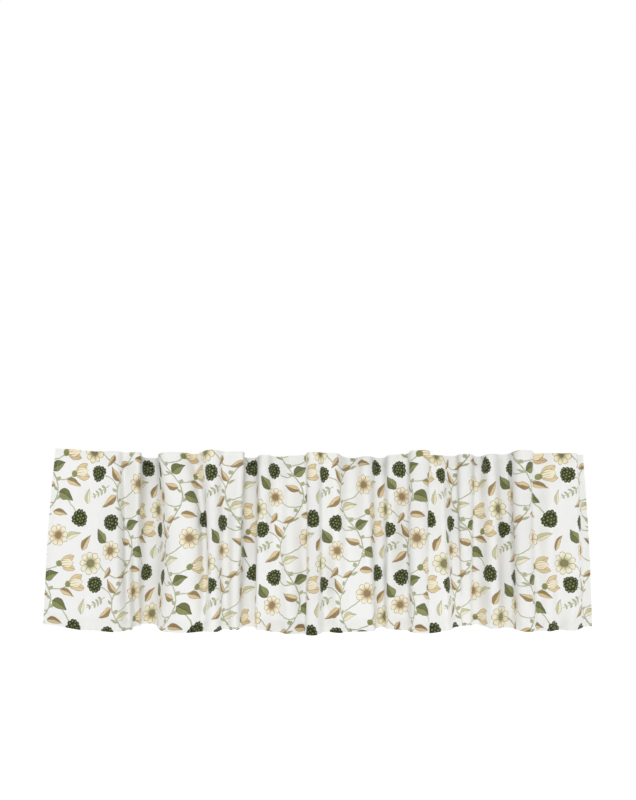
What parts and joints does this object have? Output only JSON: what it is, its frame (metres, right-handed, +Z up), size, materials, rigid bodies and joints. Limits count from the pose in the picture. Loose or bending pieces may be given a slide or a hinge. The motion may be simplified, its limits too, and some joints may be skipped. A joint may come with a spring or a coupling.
{
  "type": "window valance",
  "caption": "Short, wide window valance: one off-white cotton panel with a leaf and berry print, hanging in soft uneven folds.",
  "frame": {"origin": "middle of the cloth's top edge, where whatever carries the valance holds it", "axes": "+Z up, +X along the window to the right as seen from the room, -Y out of the printed face into the room"},
  "size_m": [1.6033, 0.2074, 0.5104],
  "materials": {
    "printed_cotton": "matte plain-weave cotton, off-white with a printed pattern in greens, tan and cream"
  },
  "bodies": {
    "root": {"valance_cloth": "printed_cotton"}
  },
  "joints": []
}
